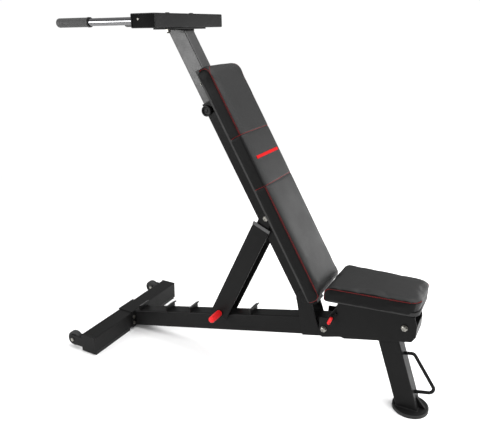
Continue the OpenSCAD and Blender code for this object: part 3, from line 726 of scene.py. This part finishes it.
# The pull knob: a thick rim round a dished face
def makeKnob():
    k = pullKnob
    end, rim, dish = k["length"], k["radius"], k["dish"]
    rings = [(0, 0), (0, k["neck"]), (8 * mm, k["neck"]), (10.5 * mm, rim - 2 * mm), (13 * mm, rim),
             (end - 3 * mm, rim), (end - 0.8 * mm, rim - 1.2 * mm), (end, rim - 3 * mm),
             (end - 0.4 * mm, dish + 1 * mm), (end - 4 * mm, dish), (end - 5 * mm, dish - 1.5 * mm),
             (end - 5 * mm, 6 * mm), (end - 3.4 * mm, 5 * mm), (end - 3 * mm, 0)]
    bm = bmesh.new()
    middle = centreOf("pin_knob")
    middle.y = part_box("pin_knob")[1][1]
    turned(bm, rings, middle, (0, -1, 0), 48)
    knob = pieceFrom(bm, "pullKnob", finishes["black_plastic"])
    finished(knob, "pull_pin", "black_plastic", "pin_knob")
    soften(knob, 0.5 * mm)


makeKnob()


barGrip = {"radius": 15.5 * mm, "bore": 12.6 * mm, "length": 141 * mm, "ribs": 20, "ribStep": 5.6 * mm,
           "tilt": 2.1}


# Rubber grips on the two chrome bars: rounded ends, shallow ribs and a flange towards the bar
def makeBarGrips():
    g = barGrip
    tilt = math.radians(g["tilt"])
    axis = Vector((math.cos(tilt), 0, math.sin(tilt)))
    r, n = g["radius"], g["length"]
    rings = [(3.2 * mm, 0), (3.2 * mm, g["bore"]), (n, g["bore"]), (n, r + 0.6 * mm),
             (n - 1 * mm, r + 1.2 * mm), (n - 5 * mm, r + 1.2 * mm), (n - 7 * mm, r)]
    for k in range(g["ribs"]):
        at = n - 12 * mm - k * g["ribStep"]
        rings += [(at, r), (at - 0.7 * mm, r - 0.5 * mm), (at - 1.4 * mm, r)]
    rings += [(7 * mm, r), (4 * mm, r - 0.9 * mm), (1.6 * mm, r - 2.8 * mm), (0.3 * mm, r - 6 * mm), (0, 0)]
    low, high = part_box("bar_grips")
    bm = bmesh.new()
    for side in (-1, 1):
        place = Vector((low[0] + 0.4 * mm, side * (high[1] - r), low[2] + 15.3 * mm))
        turned(bm, rings, place, axis, 36)
    grips = pieceFrom(bm, "barGrips", finishes["grip_rubber"])
    finished(grips, "post", "grip_rubber", "bar_grips")
    grips.data.set_sharp_from_angle(angle=math.radians(50))


makeBarGrips()


footGrip = {"radius": 12.5 * mm, "bore": 8.6 * mm, "length": 67 * mm, "start": 43 * mm, "ribs": 8,
            "ribStep": 5.5 * mm}


def makeFootGrips():
    g = footGrip
    r, n = g["radius"], g["length"]
    rings = [(61.5 * mm, 0), (61.5 * mm, g["bore"]), (0, g["bore"]), (0, r - 1.2 * mm), (1.2 * mm, r)]
    for k in range(g["ribs"]):
        at = 9 * mm + k * g["ribStep"]
        rings += [(at, r), (at + 0.8 * mm, r - 0.45 * mm), (at + 1.6 * mm, r)]
    rings += [(n - 8 * mm, r), (n - 4 * mm, r - 1.2 * mm), (n - 1.6 * mm, r - 3.4 * mm),
              (n - 0.3 * mm, r - 7 * mm), (n, 0)]
    middle = centreOf("arm_grips")
    bm = bmesh.new()
    for side in (-1, 1):
        turned(bm, rings, Vector((middle.x, side * g["start"], middle.z)), (0, side, 0), 36)
    grips = pieceFrom(bm, "footGrips", finishes["red_rubber"])
    finished(grips, "arm", "red_rubber", "arm_grips")
    grips.data.set_sharp_from_angle(angle=math.radians(50))


makeFootGrips()


# The path's corners run from the leg's upper front edge
liftBar = {"thick": 12 * mm, "bend": 9 * mm, "furthest": 109.4,
           "path": ((-8, 206), (30, 214), (109.4, 100), (101.4, 82), (41, 68))}


# The bent rod that the bench is lifted by, with smooth corners
def makeLiftHandle():
    h = liftBar
    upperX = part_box("lift_handle")[1][0] - h["thick"] / 2 - h["furthest"] * mm
    corners = [Vector((upperX + x * mm, 0, z * mm)) for x, z in h["path"]]
    way = [corners[0]]
    for before, here, after in zip(corners, corners[1:], corners[2:]):
        into = (before - here).normalized()
        away = (after - here).normalized()
        reach = min(h["bend"], (before - here).length * 0.45, (after - here).length * 0.45)
        first, last = here + into * reach, here + away * reach
        for t in spaced(0, 1, 7):
            way.append(first * (1 - t) ** 2 + here * 2 * t * (1 - t) + last * t ** 2)
    way.append(corners[-1])
    curve = bpy.data.curves.new("liftHandlePath", "CURVE")
    curve.dimensions = "3D"
    curve.bevel_depth = h["thick"] / 2
    curve.bevel_resolution = 5
    curve.use_fill_caps = True
    spline = curve.splines.new("POLY")
    spline.points.add(len(way) - 1)
    for point, place in zip(spline.points, way):
        point.co = (*place, 1)
    rod = bpy.data.objects.new("liftHandlePath", curve)
    bpy.context.scene.collection.objects.link(rod)
    bpy.context.view_layer.update()
    mesh = bpy.data.meshes.new_from_object(rod.evaluated_get(bpy.context.evaluated_depsgraph_get()))
    bpy.data.objects.remove(rod)
    bm = bmesh.new()
    bm.from_mesh(mesh)
    bmesh.ops.remove_doubles(bm, verts=bm.verts, dist=1e-6)
    bmesh.ops.recalc_face_normals(bm, faces=bm.faces)
    handle = pieceFrom(bm, "liftHandle", finishes["black_frame"])
    handle.data.set_sharp_from_angle(angle=math.radians(50))
    finished(handle, "base", "black_frame", "lift_handle")


makeLiftHandle()


transportWheel = {"radius": 30 * mm, "half": 12 * mm, "bore": 4.2 * mm, "hub": 10 * mm}


# Transport wheels: a crowned tyre with two grooves, a dished web and a raised hub
def makeWheel(name):
    w = transportWheel
    r, h = w["radius"], w["half"]
    half = [(0, r), (1.8 * mm, r), (2.4 * mm, r - 0.9 * mm), (3.4 * mm, r - 0.9 * mm),
            (4 * mm, r - 0.1 * mm), (h - 2.5 * mm, r - 0.6 * mm), (h - 0.7 * mm, r - 2 * mm),
            (h, r - 4 * mm), (h - 0.4 * mm, r - 7 * mm),
            (h - 4 * mm, r - 8.5 * mm), (h - 4.6 * mm, w["hub"] + 1.5 * mm), (h - 1 * mm, w["hub"]),
            (h - 0.2 * mm, w["hub"] - 1 * mm), (h - 0.2 * mm, w["bore"])]
    rings = [(-z, radius) for z, radius in reversed(half)] + half[1:] + [(-half[-1][0], w["bore"])]
    bm = bmesh.new()
    turned(bm, rings, centreOf(name), (0, 1, 0), 56)
    wheel = pieceFrom(bm, name.replace("_n", "N").replace("_f", "F") + "Tyre", finishes["wheel_plastic"])
    wheel.data.set_sharp_from_angle(angle=math.radians(40))
    finished(wheel, name, "wheel_plastic", name)


makeWheel("wheel_near")
makeWheel("wheel_far")


weldLine = {"bead": 2.2 * mm, "step": 2.6 * mm, "legDepth": 74 * mm, "postDepth": 69 * mm}


# A row of overlapping weld ripples along a run of corners
def weldRun(bm, corners):
    w = weldLine
    for start, end in zip(corners, corners[1:]):
        start, end = Vector(start), Vector(end)
        count = max(1, round((end - start).length / w["step"]))
        along = (end - start).normalized()
        turn = Vector((1, 0, 0)).rotation_difference(along).to_matrix().to_4x4()
        for k in range(count):
            place = start.lerp(end, (k + 0.5) / count)
            shape = Matrix.Translation(place) @ turn @ Matrix.Diagonal((0.8, 1, 1, 1))
            ripple = w["bead"] * (1 + 0.12 * math.sin(k * 2.4))
            bmesh.ops.create_icosphere(bm, subdivisions=1, radius=ripple, matrix=shape)


def ringRound(x0, x1, y, z):
    return [(x0, -y, z), (x1, -y, z), (x1, y, z), (x0, y, z), (x0, -y, z)]


def makeWelds():
    weldSeat = {"base": bmesh.new(), "post": bmesh.new()}
    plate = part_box("foot_plate")
    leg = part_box("front_leg")
    legEnd = leg[1][0]
    foot = plate[1][2] + 0.4 * mm
    weldRun(weldSeat["base"], ringRound(legEnd - weldLine["legDepth"], legEnd, leg[1][1], foot))
    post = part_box("extension_post")
    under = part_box("top_plate")
    top = under[0][2] + 0.8 * mm
    weldRun(weldSeat["post"], ringRound(post[0][0], post[0][0] + weldLine["postDepth"], post[1][1], top))
    for body, bm in weldSeat.items():
        welds = pieceFrom(bm, body + "Welds", weldMetal)
        finished(welds, body, "black_frame")


makeWelds()


pinCoil = {"wire": 0.8 * mm, "radius": 6.1 * mm, "turns": 4, "turnSteps": 24, "keep": 0.12}


# The pull pin's spring, made as a fixed coil; the real one closes up as the knob is drawn out
def makePinCoil():
    c = pinCoil
    low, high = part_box("pin_spring")
    middle = centreOf("pin_spring")
    rise = (high[1] - low[1] - 2 * c["wire"]) / c["turns"]
    bm = bmesh.new()
    start = Matrix.Translation((c["radius"], 0, 0)) @ Matrix.Rotation(math.pi / 2, 4, "X")
    bmesh.ops.create_circle(bm, segments=8, radius=c["wire"], cap_ends=False, matrix=start)
    bmesh.ops.spin(bm, geom=bm.verts[:] + bm.edges[:], cent=(0, 0, 0), axis=(0, 0, 1),
                   dvec=(0, 0, rise / c["turnSteps"]), angle=2 * math.pi * c["turns"],
                   steps=c["turnSteps"] * c["turns"], use_merge=False)
    bmesh.ops.remove_doubles(bm, verts=bm.verts, dist=1e-6)
    bmesh.ops.holes_fill(bm, edges=[e for e in bm.edges if e.is_boundary], sides=0)
    bmesh.ops.recalc_face_normals(bm, faces=bm.faces)
    place = Matrix.Translation((middle.x, low[1] + c["wire"], middle.z))
    turn = place @ Matrix.Rotation(-math.pi / 2, 4, "X")
    bmesh.ops.transform(bm, matrix=turn, verts=bm.verts)
    coil = pieceFrom(bm, "pinCoil", finishes["spring_steel"])
    finished(coil, "backrest", "spring_steel", "pin_spring")
    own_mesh(coil)


makePinCoil()


boltFace = {"rim": 8.2 * mm, "socket": 4.6 * mm, "height": 2.6 * mm}


# Domed faces with a socket on the bolt heads that show
def makeBoltFaces():
    b = boltFace
    rings = [(0, 0), (0, b["rim"]), (0.8 * mm, b["rim"]), (b["height"] - 0.6 * mm, b["socket"] + 2 * mm),
             (b["height"], b["socket"] + 0.8 * mm), (b["height"], b["socket"]),
             (0.6 * mm, b["socket"] - 0.2 * mm), (0.4 * mm, 0)]
    for body, heads in (("base", ("seat_bolt", "housing_bolt")), ("arm", ("arm_pivot_bolt",))):
        bm = bmesh.new()
        for head in heads:
            place = centreOf(head)
            place.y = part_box(head)[0][1] + 0.2 * mm
            turned(bm, rings, place, (0, -1, 0), 32)
        faces = pieceFrom(bm, body + "BoltFaces", finishes["zinc"])
        faces.data.set_sharp_from_angle(angle=math.radians(35))
        finished(faces, body, "zinc")


makeBoltFaces()


holeRim = {"step": 97 * mm, "bore": 5.4 * mm, "edge": 7.2 * mm, "sunk": 0.37 * mm}


# A bright rim round the next adjustment hole up the post
def makeHoleRim():
    h = holeRim
    bm = bmesh.new()
    place = centreOf("pin_knob") + upBack * h["step"]
    # the rim stands under 0.1 mm proud, so that it slides into the sleeve with the post
    place.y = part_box("extension_post")[0][1] + h["sunk"]
    turned(bm, [(0, h["bore"]), (0, h["edge"]), (0.38 * mm, 7 * mm), (0.45 * mm, 6.2 * mm),
                (0.38 * mm, h["bore"]), (0, h["bore"])], place, (0, -1, 0), 32)
    finished(pieceFrom(bm, "holeRim", finishes["zinc"]), "post", "zinc")


makeHoleRim()


capScrew = {"fromRear": 27 * mm, "belowTop": 20 * mm, "sunk": 2.2 * mm}


# Small domed screws that hold the cross tube's end caps
def makeCapScrews():
    c = capScrew
    low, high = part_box("cross_tube")
    bm = bmesh.new()
    for side in (-1, 1):
        place = Vector((low[0] + c["fromRear"], side * (high[1] - c["sunk"]), high[2] - c["belowTop"]))
        turned(bm, [(-1 * mm, 0), (-1 * mm, 4 * mm), (0.6 * mm, 4 * mm), (1.6 * mm, 3 * mm),
                    (2 * mm, 1.2 * mm), (1.2 * mm, 0.9 * mm), (1.2 * mm, 0)], place, (0, side, 0), 20)
    screws = pieceFrom(bm, "capScrews", finishes["zinc"])
    finished(screws, "post", "zinc")


makeCapScrews()
capPlastic = mouldedPlastic("capPlastic", 0.0015)
capPlastic.node_tree.nodes["Principled BSDF"].inputs["Specular IOR Level"].default_value = 0.03
nodes["cross_tube_caps"].data.materials[0] = capPlastic
print("small parts done")


# Floor, light and camera
view = {"eye": (0.8268, -1.7241, 1.2706), "turn": 27.2, "dip": 19.4, "roll": 0.9, "lens": 42.17}
floorRadius = 3.2


def studio():
    bpy.context.scene.view_settings.view_transform = "Standard"
    bm = bmesh.new()
    bmesh.ops.create_circle(bm, cap_ends=True, segments=96, radius=floorRadius)
    floorFinish = Finish("paleFloor")
    speck = floorFinish.noise(3.0, 3.0)
    floorFinish.set(Base_Color=floorFinish.mix(speck, grey(0.93), grey(0.96)), Roughness=0.9)
    floor = pieceFrom(bm, "studioFloor", floorFinish.material, smooth=False)
    air = bpy.data.worlds.new("studioAir")
    bpy.context.scene.world = air
    air.use_nodes = True
    tree = air.node_tree
    back = tree.nodes["Background"]
    back.inputs["Strength"].default_value = 1.0
    # paler overhead than round the sides, and plain white behind the bench
    coord = tree.nodes.new("ShaderNodeTexCoord")
    split = tree.nodes.new("ShaderNodeSeparateXYZ")
    ramp = tree.nodes.new("ShaderNodeValToRGB")
    path = tree.nodes.new("ShaderNodeLightPath")
    mix = tree.nodes.new("ShaderNodeMix")
    mix.data_type = "RGBA"
    ramp.color_ramp.elements[0].position = 0.05
    ramp.color_ramp.elements[0].color = (0.16, 0.16, 0.16, 1)
    ramp.color_ramp.elements[1].position = 0.9
    ramp.color_ramp.elements[1].color = (0.9, 0.9, 0.9, 1)
    mix.inputs[7].default_value = (1.02, 1.02, 1.02, 1)
    tree.links.new(coord.outputs["Generated"], split.inputs[0])
    tree.links.new(split.outputs["Z"], ramp.inputs[0])
    tree.links.new(path.outputs["Is Camera Ray"], mix.inputs[0])
    tree.links.new(ramp.outputs[0], mix.inputs[6])
    tree.links.new(mix.outputs[2], back.inputs["Color"])


def softbox(name, place, aim, size, power):
    data = bpy.data.lights.new(name, "AREA")
    data.shape = "RECTANGLE"
    data.size, data.size_y = size
    data.energy = power
    lamp = bpy.data.objects.new(name, data)
    bpy.context.scene.collection.objects.link(lamp)
    lamp.location = place
    lamp.visible_camera = False
    lamp.rotation_mode = "QUATERNION"
    lamp.rotation_quaternion = (Vector(aim) - Vector(place)).to_track_quat("-Z", "Y")


def camera():
    data = bpy.data.cameras.new("camera")
    data.lens = view["lens"]
    data.sensor_width = 36
    cam = bpy.data.objects.new("camera", data)
    bpy.context.scene.collection.objects.link(cam)
    turn, dip, roll = (math.radians(view[k]) for k in ("turn", "dip", "roll"))
    ahead = Vector((-math.sin(turn) * math.cos(dip), math.cos(turn) * math.cos(dip), -math.sin(dip)))
    right = ahead.cross(Vector((0, 0, 1))).normalized()
    up = right.cross(ahead)
    right, up = right * math.cos(roll) + up * math.sin(roll), up * math.cos(roll) - right * math.sin(roll)
    cam.matrix_world = Matrix.Translation(view["eye"]) @ Matrix((right, up, -ahead)).transposed().to_4x4()
    bpy.context.scene.camera = cam


studio()
softbox("overhead", (1.9, 0.4, 3.6), (0.3, 0, 0), (4.5, 4.5), 250)
softbox("highKey", (-1.85, -2.1, 1.15), (-0.35, -0.05, 0.95), (1.0, 1.0), 50)
softbox("lowRim", (1.5, 2.3, 0.85), (0.2, 0, 0.6), (1.2, 0.8), 26)
camera()
print("studio done")
